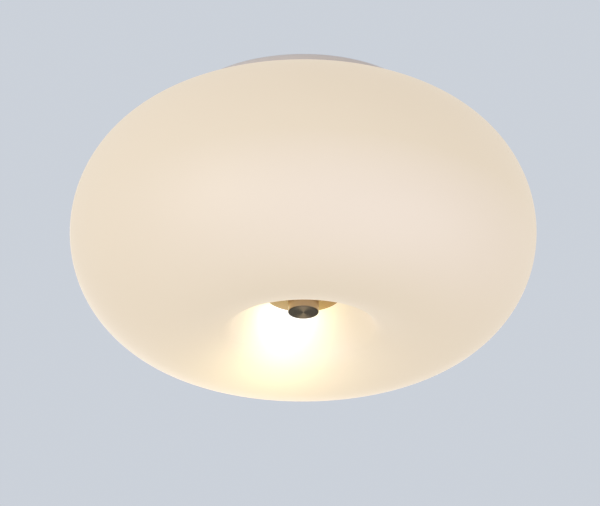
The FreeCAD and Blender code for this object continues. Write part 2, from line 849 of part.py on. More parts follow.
def glass_outline(offset):
    """The glass's outline that far inside its outer face, from the neck's edge round to the hole's edge."""
    half = shade_diameter / 2
    upper_side, crown = side_arcs(half - skirt_middle, crown_height, upper_side_arc)
    lower_side, lip = side_arcs(half * (1 - lip_circle_share), lip_depth, lower_side_arc)
    upper_centre = (half - upper_side, equator_z)
    lower_centre = (half - lower_side, equator_z)
    crown_centre = on_circle(upper_centre, upper_side - crown, upper_side_arc)
    lip_centre = on_circle(lower_centre, lower_side - lip, -lower_side_arc)
    neck_angle = 90 + math.degrees(math.asin((crown_centre[0] - neck_radius) / (crown - offset)))

    wall_normal = -90 - dimple_wall_slope
    root_centre = (plate_diameter / 2 + seat_margin, seat_z - dimple_root_radius)
    wall_high = on_circle(root_centre, dimple_root_radius, 90 - dimple_wall_slope)
    shoulder_centre = shoulder_place(wall_high, wall_normal, lip_centre, lip)
    lip_end = math.degrees(math.atan2(shoulder_centre[1] - lip_centre[1], shoulder_centre[0] - lip_centre[0]))
    return [
        arc(crown_centre, crown - offset, neck_angle, upper_side_arc),
        arc(upper_centre, upper_side - offset, upper_side_arc, 0),
        arc(lower_centre, lower_side - offset, 0, -lower_side_arc),
        arc(lip_centre, lip - offset, -lower_side_arc, lip_end),
        arc(shoulder_centre, shoulder_radius - offset, lip_end, wall_normal),
        arc(root_centre, dimple_root_radius + offset, 90 - dimple_wall_slope, 90),
        (glass_hole_diameter / 2, seat_z + offset),
    ]


def glass_shade():
    """One blown glass wall, cut off at the neck and drilled at the seat, with its cut edges eased."""
    shell = turned(glass_outline(0.0) + backwards(glass_outline(glass_wall)))
    rims = [e for e in shell.Edges if abs(e.BoundBox.XLength - neck_opening_diameter) < 0.01]
    rims += [e for e in shell.Edges if abs(e.BoundBox.XLength - glass_hole_diameter) < 0.01]
    return shell.makeChamfer(glass_edge_chamfer, rims)


def glass_cutters():
    """The room above the glass's widest circle, and the room inside its lip circle."""
    reach = shade_diameter
    above = disc(2 * reach, equator_z, reach)
    inside_lip = disc(lip_circle_share * shade_diameter, -reach, seat_z + glass_wall)
    return above, inside_lip


def glass_bowl():
    """The glass outside its lip circle, in two solids that meet face to face at the widest circle."""
    shell = glass_shade()
    above, inside_lip = glass_cutters()
    return [shell.common(above), shell.cut(above).cut(inside_lip)]


def glass_dimple():
    """The same glass inside its lip circle, where it turns up to the seat."""
    return glass_shade().common(glass_cutters()[1])


# ---- clamp stack ----

def seat_gasket():
    """A top-hat silicone gasket: its flange lies under the glass and its spigot lines the glass hole."""
    bore = rod_diameter / 2 + slip_clearance
    spigot = glass_hole_diameter / 2 - touch_gap
    spigot_top = seat_z + glass_wall
    return turned([
        (bore, spigot_top), (spigot, spigot_top), (spigot, seat_z), (gasket_diameter / 2, seat_z),
        (gasket_diameter / 2, plate_top), (bore, plate_top),
    ])


def cover_plate():
    bore = rod_diameter / 2 + slip_clearance
    outer = plate_diameter / 2
    edge = plate_edge_radius
    return turned([
        (bore, plate_top), arc((outer - edge, plate_top - edge), edge, 90, 0),
        arc((outer - edge, plate_bottom + edge), edge, 0, -90), (bore, plate_bottom),
    ])


def knob():
    """A turned cylinder with a blind threaded bore and a recess for its washer."""
    outer = knob_diameter / 2
    bore = rod_diameter / 2 + thread_clearance
    recess = knob_washer_diameter / 2 + fit_clearance
    edge = knob_edge_chamfer
    bore_end = plate_bottom - knob_bore_depth
    return turned([
        (recess, plate_bottom), (outer - edge, plate_bottom), (outer, plate_bottom - edge),
        (outer, knob_bottom + edge), (outer - edge, knob_bottom), (0, knob_bottom), (0, bore_end),
        (bore, bore_end), (bore, plate_bottom - knob_washer_thickness), (recess, plate_bottom - knob_washer_thickness),
    ])


def knob_washer():
    bore = rod_diameter + 2 * slip_clearance
    return washer(knob_washer_diameter, bore, plate_bottom - knob_washer_thickness, plate_bottom)


# ---- every node, by name ----

def nodes():
    block_grip = block_height - rivet_head_height - block_rivet_recess
    made = {
        "ceiling_pan": [ceiling_pan()],
        "edge_trim": [edge_trim()],
        "bridge": [bridge()],
        "bridge_rivets": [flush_rivet(x, y, bridge_sheet) for x, y in bridge_rivet_places()],
        "centring_clips": around_axis(centring_clip(), clip_count),
        "clip_rivets": around_axis(flush_rivet(clip_rivet_radius(), 0, clip_sheet), clip_count),
        "rod": [rod()],
        "rod_washers": rod_washers(),
        "rod_nut_upper": [rod_nut_upper()],
        "rod_nut_lower": [rod_nut_lower()],
        "cable_bush": [cable_bush()],
        "holder_screws": holder_screws(),
        "terminal_block": [terminal_block()],
        "terminal_clamps": terminal_clamps(),
        "terminal_screws": terminal_screws(),
        "block_rivets": [flush_rivet(x, y, block_grip) for x, y in block_rivet_places()],
        "earth_screw": [earth_screw()],
        "earth_nut": [earth_nut()],
        "earth_tag": [earth_tag()],
        "live_wires": wires("live"),
        "neutral_wires": wires("neutral"),
        "earth_wire": wires("earth"),
        "glass_shade": glass_bowl(),
        "glass_dimple": [glass_dimple()],
        "seat_gasket": [seat_gasket()],
        "cover_plate": [cover_plate()],
        "knob": [knob()],
        "knob_washer": [knob_washer()],
    }
    for letter, side in (("a", 1), ("b", -1)):
        y = side * lamp_offset
        made[f"lampholder_body_{letter}"] = [lampholder_body(y)]
        made[f"lampholder_shell_{letter}"] = [lampholder_shell(y)]
        made[f"lampholder_contact_{letter}"] = [lampholder_contact(y)]
        made[f"lamp_tip_{letter}"] = [lamp_tip(y)]
        made[f"lamp_insulator_{letter}"] = [lamp_insulator(y)]
        made[f"lamp_cap_{letter}"] = [lamp_cap(y)]
        made[f"lamp_bulb_{letter}"] = [lamp_bulb(y)]
        made[f"lamp_mount_{letter}"] = [lamp_mount(y)]
        made[f"lamp_filaments_{letter}"] = lamp_filaments(y)
    return made


os.makedirs("parts", exist_ok=True)
for name, solids in nodes().items():
    flat = [s for shape in solids for s in shape.Solids]
    if len(flat) != len(solids) or not all(s.isValid() for s in flat):
        print(f"look at {name}: {len(flat)} solids from {len(solids)} pieces")
    shape = flat[0] if len(flat) == 1 else Part.makeCompound(flat)
    shape.exportStep(f"parts/{name}.step")
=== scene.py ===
import json
import math

import bmesh
import bpy
import numpy as np
from mathutils import Matrix, Vector


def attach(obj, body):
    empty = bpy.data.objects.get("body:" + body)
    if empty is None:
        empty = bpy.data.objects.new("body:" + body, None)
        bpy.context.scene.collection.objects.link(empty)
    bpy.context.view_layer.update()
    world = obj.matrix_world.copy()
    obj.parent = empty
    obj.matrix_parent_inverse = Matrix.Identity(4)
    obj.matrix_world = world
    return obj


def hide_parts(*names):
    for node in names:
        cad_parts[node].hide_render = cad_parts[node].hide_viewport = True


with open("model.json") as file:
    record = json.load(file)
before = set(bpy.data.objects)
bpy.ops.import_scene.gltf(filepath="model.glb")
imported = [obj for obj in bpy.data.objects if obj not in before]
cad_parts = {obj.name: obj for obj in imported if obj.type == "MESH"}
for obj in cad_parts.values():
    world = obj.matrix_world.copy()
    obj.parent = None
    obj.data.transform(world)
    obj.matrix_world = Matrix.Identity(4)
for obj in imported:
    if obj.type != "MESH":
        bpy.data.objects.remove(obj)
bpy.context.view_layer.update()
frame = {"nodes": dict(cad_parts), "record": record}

cadNodes = frame["nodes"]
mm = 0.001
fullTurn = 2 * math.pi
shade = {"half": 180.0, "equator": -108.4}  # millimetres: half its width, and where it is widest
lampPlaces = {"a": (0.0, 39 * mm), "b": (0.0, -39 * mm)}


class Wire:
    # one output socket; the operators on it add Math nodes to its tree
    def __init__(self, shading, socket):
        self.shading = shading
        self.socket = socket

    def join(self, operation, first, second):
        return self.shading.node("ShaderNodeMath", {"operation": operation}, {0: first, 1: second})

    def __add__(self, other): return self.join("ADD", self, other)
    def __radd__(self, other): return self.join("ADD", other, self)
    def __sub__(self, other): return self.join("SUBTRACT", self, other)
    def __rsub__(self, other): return self.join("SUBTRACT", other, self)
    def __mul__(self, other): return self.join("MULTIPLY", self, other)
    def __rmul__(self, other): return self.join("MULTIPLY", other, self)
    def __truediv__(self, other): return self.join("DIVIDE", self, other)
    def __rtruediv__(self, other): return self.join("DIVIDE", other, self)
    def __pow__(self, other): return self.join("POWER", self, other)


class Shading:
    # the node tree of a material or of the world
    def __init__(self, tree):
        self.tree = tree
        tree.nodes.clear()

    def node(self, kind, settings=None, sockets=None, out=0):
        # the settings are set first; each socket then takes a value or a link
        made = self.tree.nodes.new(kind)
        for key, value in (settings or {}).items():
            setattr(made, key, value)
        for key, value in (sockets or {}).items():
            self.plug(made.inputs[key], value)
        return Wire(self, made.outputs[out])

    def plug(self, socket, value):
        if isinstance(value, Wire):
            self.tree.links.new(value.socket, socket)
        elif socket.type == "RGBA" and len(value) == 3:
            socket.default_value = (*value, 1.0)
        else:
            socket.default_value = value

    def show(self, kind, shader):
        output = self.tree.nodes.new(kind)
        self.plug(output.inputs["Surface"], shader)


class Finish(Shading):
    # a material with one Principled shader; constants go straight onto its sockets
    def __init__(self, name, sockets=None):
        self.material = bpy.data.materials.new(name)
        self.material.use_nodes = True
        super().__init__(self.material.node_tree)
        shader = self.node("ShaderNodeBsdfPrincipled", sockets=sockets)
        self.show("ShaderNodeOutputMaterial", shader)
        self.shader = shader.socket.node

    def feed(self, name, value):
        self.plug(self.shader.inputs[name], value)
        return self

    def emit(self, colour):
        return self.feed("Emission Color", colour).feed("Emission Strength", 1.0)

    def roughen(self, wander, roughness, spread):
        # roughness + (wander - 1/2) x spread
        return self.feed("Roughness", wander * spread + (roughness - spread / 2))

    def bump(self, height, depth):
        # depth is the height of a full step, in metres
        sockets = {"Height": height, "Distance": depth, "Strength": 1.0}
        return self.feed("Normal", self.node("ShaderNodeBump", sockets=sockets))

    def place(self):
        return self.node("ShaderNodeTexCoord", out="Object")

    def facing(self):
        return self.node("ShaderNodeTexCoord", out="Normal")

    def split(self, vector):
        outs = self.node("ShaderNodeSeparateXYZ", sockets={0: vector}).socket.node.outputs
        return [Wire(self, out) for out in outs]

    def vector(self, operation, first, second, out="Vector"):
        # colours go this way too, because a Math node turns them grey
        return self.node("ShaderNodeVectorMath", {"operation": operation}, {0: first, 1: second}, out)

    def times(self, colour, value):
        return self.node("ShaderNodeVectorMath", {"operation": "SCALE"}, {0: colour, "Scale": value})

    def mix(self, factor, first, second):
        # sockets 6 and 7 and output 2 are the Mix node's colours
        settings = {"data_type": "RGBA", "clamp_factor": True}
        return self.node("ShaderNodeMix", settings, {0: factor, 6: first, 7: second}, 2)

    def clamp(self, value):
        return self.node("ShaderNodeClamp", sockets={"Value": value, "Min": 0.0, "Max": 1.0})

    def sine(self, value):
        return self.node("ShaderNodeMath", {"operation": "SINE"}, {0: value})

    def noise(self, scale, detail=3.0, stretch=(1.0, 1.0, 1.0)):
        # scale is in waves per metre
        mapped = self.node("ShaderNodeMapping", sockets={"Vector": self.place(), "Scale": stretch})
        sockets = {"Vector": mapped, "Scale": scale, "Detail": detail}
        return self.node("ShaderNodeTexNoise", sockets=sockets)


def tinted(colour, share):
    return tuple(min(1.0, part * share) for part in colour)


def mottled(finish, look):
    # colour x (1 - mottle .. 1 + mottle) in clouds, and a roughness that wanders by its spread
    cloud = {"gain": 2.0, "fineRatio": 3.1, "fineDetail": 5.0}
    wander = (finish.noise(look["clouds"]) - 0.5) * cloud["gain"] + 0.5
    dark, pale = tinted(look["colour"], 1 - look["mottle"]), tinted(look["colour"], 1 + look["mottle"])
    finish.feed("Base Color", finish.mix(wander, dark, pale))
    fine = finish.noise(look["clouds"] * cloud["fineRatio"], cloud["fineDetail"])
    return finish.roughen(fine, look["roughness"], look["spread"])


def grained(name, look):
    # a mottled surface with a fine grain: a bump of noise, its depth in metres
    finish = mottled(Finish(name, look.get("sockets")), look)
    grain = finish.noise(look["grain"], look["detail"], look.get("stretch", (1.0, 1.0, 1.0)))
    return finish.bump(grain, look["depth"])


# the enamel's colour is its own white with painted shade: greyer and pinker than white paint
enamelLook = {
    "colour": (0.78, 0.72, 0.70), "mottle": 0.02, "clouds": 30.0, "roughness": 0.38, "spread": 0.08,
    "grain": 900.0, "detail": 1.0, "depth": 0.00002,
    "sockets": {"Coat Weight": 0.25, "Coat Roughness": 0.2},
}
porcelainLook = {
    "colour": (0.80, 0.79, 0.74), "mottle": 0.03, "clouds": 60.0, "roughness": 0.16, "spread": 0.06,
    "grain": 220.0, "detail": 2.0, "depth": 0.00006,
    "sockets": {"IOR": 1.5, "Coat Weight": 0.6, "Coat Roughness": 0.06},
}
blockPlasticLook = {
    "colour": (0.78, 0.78, 0.74), "mottle": 0.02, "clouds": 200.0, "roughness": 0.42, "spread": 0.1,
    "grain": 3000.0, "detail": 2.0, "depth": 0.00001,
}
insulatorLook = {
    "colour": (0.025, 0.025, 0.028), "mottle": 0.1, "clouds": 200.0, "roughness": 0.16, "spread": 0.06,
}


def softRubber(name, colour, roughness):
    look = {
        "colour": colour, "mottle": 0.04, "clouds": 120.0, "roughness": roughness, "spread": 0.12,
        "grain": 2500.0, "detail": 2.0, "depth": 0.00002,
    }
    return grained(name, look)


def platedMetal(name, colour, roughness, drawn=False):
    # cloudy plating; a drawn piece has short lines along X
    look = {
        "colour": colour, "mottle": 0.09, "clouds": 160.0, "roughness": roughness, "spread": 0.14,
        "grain": 700.0, "detail": 4.0, "depth": 0.000012, "sockets": {"Metallic": 1.0},
        "stretch": (0.06, 1.0, 1.0) if drawn else (1.0, 1.0, 1.0),
    }
    return grained(name, look)


def turnedMetal(name, colour, roughness, ringPitch, face=1.0):
    # rings left by the lathe: a sine of the radius, blurred by a slow wander, over fine bands;
    # a face below 1 paints shade on what looks down, save for two opposed wedges of painted highlight:
    # the cosine of the angle from the wedges' line, to a high power
    turned = {
        "wanderScale": 260.0, "wanderDetail": 2.0, "wander": 0.0006,
        "bandScale": 900.0, "bandDetail": 3.0, "gain": 1.6, "offset": 0.3, "dark": 0.82, "pale": 1.16,
        "spread": 0.16, "ringShare": 0.5, "ringDepth": 0.000016,
        "glintX": 0.34, "glintY": 0.94, "glintPower": 8.0, "glintShare": 0.5,
    }
    finish = Finish(name, {"Metallic": 1.0})
    x, y, _ = finish.split(finish.place())
    radius = (x * x + y * y) ** 0.5
    wander = finish.noise(turned["wanderScale"], turned["wanderDetail"]) * turned["wander"]
    rings = finish.sine((radius + wander) * (fullTurn / ringPitch))
    sockets = {"W": radius, "Scale": turned["bandScale"], "Detail": turned["bandDetail"]}
    bands = finish.node("ShaderNodeTexNoise", {"noise_dimensions": "1D"}, sockets)
    dark, pale = tinted(colour, turned["dark"]), tinted(colour, turned["pale"])
    metal = finish.mix(bands * turned["gain"] - turned["offset"], dark, pale)
    # painted shade on faces that look down, broken by two wedges of painted highlight
    if face < 1.0:
        _, _, up = finish.split(finish.facing())
        paintedGlint = ((x * turned["glintX"] + y * turned["glintY"]) / radius) ** turned["glintPower"]
        paintedShade = finish.clamp(up * -1.0) * (1.0 - paintedGlint * turned["glintShare"]) * (1.0 - face)
        metal = finish.times(metal, 1.0 - paintedShade)
    finish.feed("Base Color", metal)
    finish.roughen(bands, roughness, turned["spread"])
    return finish.bump(rings * turned["ringShare"] + bands, turned["ringDepth"])


def earthSleeve():
    # green above and yellow below, with a soft edge, as a striped sleeve lies
    look = {
        "green": (0.05, 0.34, 0.07), "yellow": (0.80, 0.66, 0.04), "edge": 12.0,
        "fine": 900.0, "roughness": 0.475, "spread": 0.15,
    }
    finish = Finish("earthSleeve")
    _, _, up = finish.split(finish.facing())
    side = finish.clamp(up * look["edge"] + 0.5)
    finish.feed("Base Color", finish.mix(side, look["yellow"], look["green"]))
    return finish.roughen(finish.noise(look["fine"]), look["roughness"], look["spread"])


def glow(finish, lit):
    # painted light of the lamps inside the glass: a pool of light near the far lamp, and more light low
    # down
    # near the far lamp: (slant of the wall + wrap) / (1 + wrap), times (reach / distance) cubed;
    # low down: the depth under the equator times the square of how far the wall faces along Y
    facing = finish.facing()
    away = finish.vector("SUBTRACT", finish.place(), lit["lamp"])
    distance = finish.node("ShaderNodeVectorMath", {"operation": "LENGTH"}, {0: away}, "Value")
    along = finish.vector("DOT_PRODUCT", away, facing, "Value")
    slant = finish.clamp((along / distance + lit["wrap"]) / (1 + lit["wrap"]))
    near = slant * (lit["reach"] / distance) ** 3.0
    _, _, height = finish.split(finish.vector("SUBTRACT", finish.place(), lit["middle"]))
    _, ahead, _ = finish.split(facing)
    return near, finish.clamp(height / lit["drop"]) * ahead * ahead


def opalGlass():
    # painted light = near colour x near + low colour x low + even colour, no channel above 1; it stands
    # for the lamps shining through the glass
    look = {
        "colour": (0.50, 0.47, 0.42), "pale": 1.03, "clouds": 18.0, "cloudDetail": 3.0,
        "roughness": 0.5, "spread": 0.06, "fine": 40.0,
        "waves": 14.0, "waveDepth": 0.0002, "detail": 2.0,
    }
    lit = {
        "lamp": (0.0, 60 * mm, -140 * mm), "reach": 60 * mm, "wrap": 0.6,
        "middle": (0.0, 0.0, shade["equator"] * mm), "drop": -100 * mm,
        "even": (0.447, 0.360, 0.252), "near": (0.546, 0.430, 0.195), "low": (0.111, 0.112, 0.229),
    }
    finish = Finish("opalGlass", {"IOR": 1.5})
    clouds = finish.noise(look["clouds"], look["cloudDetail"])
    finish.feed("Base Color", finish.mix(clouds, look["colour"], tinted(look["colour"], look["pale"])))
    finish.roughen(finish.noise(look["fine"], look["detail"]), look["roughness"], look["spread"])
    near, low = glow(finish, lit)
    light = finish.vector("ADD", finish.times(lit["near"], near), finish.times(lit["low"], low))
    light = finish.vector("MINIMUM", finish.vector("ADD", light, lit["even"]), (1.0, 1.0, 1.0))
    return finish.emit(light).bump(finish.noise(look["waves"], look["detail"]), look["waveDepth"])


def lampOpal():
    # glow x (dim at the neck .. 1 round the filaments)
    look = {
        "colour": (0.80, 0.78, 0.72), "mottle": 0.02, "clouds": 60.0, "roughness": 0.32, "spread": 0.06,
        "glow": (0.34, 0.31, 0.25), "dim": 0.25, "top": -63 * mm, "bottom": -90 * mm,
    }
    finish = mottled(Finish("lampOpal"), look)
    _, _, height = finish.split(finish.place())
    lit = finish.clamp((height - look["top"]) / (look["bottom"] - look["top"]))
    return finish.emit(finish.times(look["glow"], lit * (1 - look["dim"]) + look["dim"]))


def lampStem():
    look = {
        "dark": (0.85, 0.88, 0.87), "pale": (0.92, 0.94, 0.93), "clouds": 90.0,
        "fine": 120.0, "roughness": 0.08, "spread": 0.08,
    }
    finish = Finish("lampStem", {"IOR": 1.5, "Transmission Weight": 0.7})
    finish.feed("Base Color", finish.mix(finish.noise(look["clouds"]), look["dark"], look["pale"]))
    return finish.roughen(finish.noise(look["fine"]), look["roughness"], look["spread"])


def lampPhosphor():
    look = {
        "colour": (0.86, 0.60, 0.18), "mottle": 0.1, "clouds": 900.0, "roughness": 0.6, "spread": 0.1,
        "glow": (0.5, 0.33, 0.1),
    }
    return mottled(Finish("lampPhosphor"), look).emit(look["glow"])


print("finishes")
finishes = {
    "white_enamel": grained("whiteEnamel", enamelLook),
    "white_rubber": softRubber("whiteRubber", (0.72, 0.72, 0.71), 0.6),
    "zinc_plate": platedMetal("zincPlate", (0.62, 0.64, 0.66), 0.36, drawn=True),
    "spring_steel": platedMetal("springSteel", (0.46, 0.47, 0.49), 0.3, drawn=True),
    "porcelain": grained("porcelain", porcelainLook),
    "brass": platedMetal("brass", (0.78, 0.60, 0.30), 0.3, drawn=True),
    "block_plastic": grained("blockPlastic", blockPlasticLook),
    "nickel_screw": platedMetal("nickelScrew", (0.62, 0.60, 0.56), 0.28),
    "tinned_copper": platedMetal("tinnedCopper", (0.66, 0.64, 0.61), 0.42, drawn=True),
    "live_sleeve": softRubber("liveSleeve", (0.16, 0.07, 0.035), 0.42),
    "neutral_sleeve": softRubber("neutralSleeve", (0.03, 0.09, 0.34), 0.42),
    "earth_sleeve": earthSleeve(),
    "opal_glass": opalGlass(),
    "silicone": softRubber("silicone", (0.70, 0.70, 0.67), 0.5),
    # both nickels are written golden brown: the metal's own tone with a painted reflection of warm
    # light
    "brushed_nickel": turnedMetal("brushedNickel", (0.46, 0.31, 0.12), 0.34, 0.6 * mm),
    # face=0.12: the knob's downward face gets painted shade, with two wedges of painted highlight
    "turned_nickel": turnedMetal("turnedNickel", (0.55, 0.42, 0.27), 0.30, 0.5 * mm, face=0.12),
    "nylon": softRubber("nylon", (0.78, 0.78, 0.74), 0.45),
    "lamp_solder": platedMetal("lampSolder", (0.55, 0.55, 0.55), 0.45),
    "lamp_insulator": mottled(Finish("lampInsulator"), insulatorLook),
    "lamp_cap": platedMetal("lampCap", (0.70, 0.69, 0.66), 0.28),
    "lamp_opal": lampOpal(),
    "lamp_stem": lampStem(),
    "lamp_phosphor": lampPhosphor(),
}
slotOf = {part["node"]: part["material_slot"] for part in frame["record"]["subparts"]}
bodies = frame["record"]["behaviour"]["bodies"]
bodyOf = {node: body for body, members in bodies.items() for node in members}


def dress(thing, slot):
    thing.data.materials.clear()
    thing.data.materials.append(finishes[slot].material)


for name, thing in cadNodes.items():
    dress(thing, slotOf[name])


def settle(name, nodes, mesh, smooth=40.0):
    # a finished piece that stands for these CAD nodes and rides on their body: closed, dressed,
    # and shaded as one surface across edges that turn by less than smooth degrees
    weld = {"merge": 1e-6, "sliver": 1e-7}
    shape = bmesh.new()
    shape.from_mesh(mesh)
    bmesh.ops.remove_doubles(shape, verts=shape.verts, dist=weld["merge"])
    bmesh.ops.dissolve_degenerate(shape, edges=shape.edges, dist=weld["sliver"])
    bmesh.ops.recalc_face_normals(shape, faces=shape.faces)
    for edge in shape.edges:
        edge.smooth = len(edge.link_faces) != 2 or edge.calc_face_angle(0.0) < math.radians(smooth)
    for face in shape.faces:
        face.smooth = True
    shape.to_mesh(mesh)
    shape.free()
    mesh.update()
    thing = bpy.data.objects.new(name, mesh)
    bpy.context.scene.collection.objects.link(thing)
    dress(thing, slotOf[nodes[0]])
    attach(thing, bodyOf[nodes[0]])
    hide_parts(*nodes)
    return thing


def angles(columns):
    return np.linspace(0.0, fullTurn, columns, endpoint=False)


def ringMesh(name, radius, height, columns, place=(0.0, 0.0), closes=False):
    # a grid of points, a row for each ring: place + radius x (cos, sin), and height, in millimetres;
    # its quads join each row to the next, and the last row to the first where it closes
    x = place[0] + radius * mm * np.cos(angles(columns))
    y = place[1] + radius * mm * np.sin(angles(columns))
    grid = np.stack(np.broadcast_arrays(x, y, height * mm), -1)
    rows = len(grid)
    i, j = np.meshgrid(np.arange(rows if closes else rows - 1), np.arange(columns), indexing="ij")
    nextRow, nextColumn = (i + 1) % rows, (j + 1) % columns
    corners = [(i, j), (i, nextColumn), (nextRow, nextColumn), (nextRow, j)]
    faces = np.stack([row * columns + column for row, column in corners], -1)
    mesh = bpy.data.meshes.new(name)
    mesh.from_pydata(grid.reshape(-1, 3).tolist(), [], faces.reshape(-1, 4).tolist())
    return mesh


def turnedMesh(name, runs, columns, place=(0.0, 0.0), closes=True):
    # a profile of radius and height, carried round the vertical line through place
    profile = np.concatenate([np.atleast_2d(np.array(run, float)) for run in runs])
    return ringMesh(name, profile[:, 0, None], profile[:, 1, None], columns, place, closes)


def bend(centre, radius, first, last, step=2.4):
    # points of an arc: centre + radius x (cos, sin), from one angle to another in degrees
    count = max(3, int(abs(last - first) / step) + 1)
    angle = np.radians(np.linspace(first, last, count))
    return np.stack([centre[0] + radius * np.cos(angle), centre[1] + radius * np.sin(angle)], -1)


def roundedEdge(radius, height, size, first, last):
    # the arc that rounds a corner of a turned piece, in steps of 15 degrees
    return bend((radius, height), size, first, last, 15.0)


def onCircle(centre, radius, degrees):
    angle = math.radians(degrees)
    return (centre[0] + radius * math.cos(angle), centre[1] + radius * math.sin(angle))


def arcPair(width, height, degrees):
    # radii of two tangent arcs that together span width by height; the first covers the degrees:
    # difference = (height - width) / (sin + cos - 1), second = height - difference x sin
    angle = math.radians(degrees)
    difference = (height - width) / (math.sin(angle) + math.cos(angle) - 1)
    second = height - difference * math.sin(angle)
    return second + difference, second


glass = {
    "wall": 3.5, "columns": 288, "crown": 92.4, "lip": 91.1, "crownCircle": 95.5, "lipCircle": 93.3,
    "upperArc": 61.0, "lowerArc": 57.0, "neck": 78.0, "sweep": 20.93, "shoulder": 19.0, "slope": 62.0,
    "root": 15.0, "seat": -157.9, "hole": 10.0,
}


def glassRuns(inside):
    # the glass's section, that far inside its outer face: tangent arcs from the neck over the crown,
    # the widest circle and the lip, then the dimple's shoulder, its straight slope and its root;
    # neck angle = 90 + arcsin((crown centre - neck) / (crown radius - inside))
    half, middle = shade["half"], shade["equator"]
    upperSide, crown = arcPair(half - glass["crownCircle"], glass["crown"], glass["upperArc"])
    lowerSide, lip = arcPair(half - glass["lipCircle"], glass["lip"], glass["lowerArc"])
    upperCentre, lowerCentre = (half - upperSide, middle), (half - lowerSide, middle)
    crownCentre = onCircle(upperCentre, upperSide - crown, glass["upperArc"])
    lipCentre = onCircle(lowerCentre, lowerSide - lip, -glass["lowerArc"])
    neckAngle = 90 + math.degrees(math.asin((crownCentre[0] - glass["neck"]) / (crown - inside)))
    lipEnd = -90 - glass["sweep"]
    wallEnd = -90 - glass["slope"]
    shoulderCentre = onCircle(lipCentre, lip - glass["shoulder"], lipEnd)
    low = onCircle(shoulderCentre, glass["shoulder"], wallEnd)
    slope = math.radians(glass["slope"])
    rise = glass["seat"] - glass["root"] * (1 - math.cos(slope))
    high = (low[0] - (rise - low[1]) / math.tan(slope), rise)
    rootCentre = onCircle(high, glass["root"], wallEnd)
    return [
        bend(crownCentre, crown - inside, neckAngle, glass["upperArc"]),
        bend(upperCentre, upperSide - inside, glass["upperArc"], 0),
        bend(lowerCentre, lowerSide - inside, 0, -glass["lowerArc"]),
        bend(lipCentre, lip - inside, -glass["lowerArc"], lipEnd),
        bend(shoulderCentre, glass["shoulder"] - inside, lipEnd, wallEnd),
        bend(rootCentre, glass["root"] + inside, 90 - glass["slope"], 90),
        [(glass["hole"], glass["seat"] + inside)],
    ]


def opalShade():
    # the outer face down to the hole, and the inner face back up to the neck
    back = [np.atleast_2d(run)[::-1] for run in reversed(glassRuns(glass["wall"]))]
    mesh = turnedMesh("opalShade", glassRuns(0.0) + back, glass["columns"])
    settle("opalShade", ["glass_shade", "glass_dimple"], mesh)


def turnedKnob():
    # a cylinder with eased edges, a faint dish in its face, a washer recess and a blind bore;
    # the dish rises by depth x (1 - (radius / rim) squared)
    size = {
        "radius": 11.8, "top": -160.4, "middle": -167.0, "bottom": -174.6, "topEdge": 0.4, "edge": 0.7,
        "rim": 0.6, "dish": 0.12, "dishPoints": 24, "bore": 5.05, "boreEnd": -172.4,
        "recess": 8.6, "recessDepth": 0.8, "columns": 144, "smooth": 30.0,
    }
    radius, top, bottom = size["radius"], size["top"], size["bottom"]
    topEdge, edge = size["topEdge"], size["edge"]
    recessEnd = top - size["recessDepth"]
    face = np.linspace(radius - edge - size["rim"], 0.0, size["dishPoints"])
    dish = np.stack([face, bottom + size["dish"] * (1 - (face / face[0]) ** 2)], -1)
    runs = [
        [(size["recess"], top)], roundedEdge(radius - topEdge, top - topEdge, topEdge, 90, 0),
        [(radius, size["middle"])], roundedEdge(radius - edge, bottom + edge, edge, 0, -90), dish,
        [(0.0, size["boreEnd"]), (size["bore"], size["boreEnd"]), (size["bore"], recessEnd)],
        [(size["recess"], recessEnd)],
    ]
    mesh = turnedMesh("turnedKnob", runs, size["columns"])
    settle("turnedKnob", ["knob"], mesh, size["smooth"])


def coverPlate():
    # a thin round plate with rolled edges and a bore; its flats have rings at shares of the radius
    size = {
        "radius": 29.2, "top": -158.9, "bottom": -160.4, "edge": 0.5, "bore": 5.5,
        "topRing": 0.6, "outerRing": 0.7, "innerRing": 0.4, "columns": 192, "smooth": 30.0,
    }
    radius, top, bottom, edge = size["radius"], size["top"], size["bottom"], size["edge"]
    runs = [
        [(size["bore"], top), (radius * size["topRing"], top)],
        roundedEdge(radius - edge, top - edge, edge, 90, 0),
        roundedEdge(radius - edge, bottom + edge, edge, 0, -90),
        [(radius * size["outerRing"], bottom), (radius * size["innerRing"], bottom)],
        [(size["bore"], bottom)],
    ]
    mesh = turnedMesh("coverPlate", runs, size["columns"])
    settle("coverPlate", ["cover_plate"], mesh, size["smooth"])


def fade(height, top, bottom, lead):
    # 1 along a thread, falling to 0 over the lead at each end
    return np.clip(np.minimum(top - height, height - bottom) / lead, 0, 1)


def threadedRod():
    # a thread with straight flanks: radius = crest - depth x (1 - |2 x phase - 1|), where the phase is
    # height / pitch - angle / full turn; it fades to the root at both ends, which close on the middle
    size = {
        "top": -3.5, "bottom": -170.9, "crest": 5.0, "depth": 0.8, "pitch": 1.5, "lead": 1.5,
        "columns": 36, "steps": 6, "smooth": 60.0,
    }
    rows = int((size["top"] - size["bottom"]) / size["pitch"] * size["steps"]) + 1
    height = np.linspace(size["top"], size["bottom"], rows)[:, None]
    phase = (height / size["pitch"] - angles(size["columns"]) / fullTurn) % 1.0
    ends = fade(height, size["top"], size["bottom"], size["lead"])
    radius = size["crest"] - size["depth"] * ((1 - np.abs(2 * phase - 1)) * ends + (1 - ends))
    radius, height = np.pad(radius, ((1, 1), (0, 0))), np.pad(height, ((1, 1), (0, 0)), "edge")
    mesh = ringMesh("threadedRod", radius, height, size["columns"])
    settle("threadedRod", ["rod"], mesh, size["smooth"])


print("glass")
opalShade()
print("turned pieces")
turnedKnob()
coverPlate()
threadedRod()


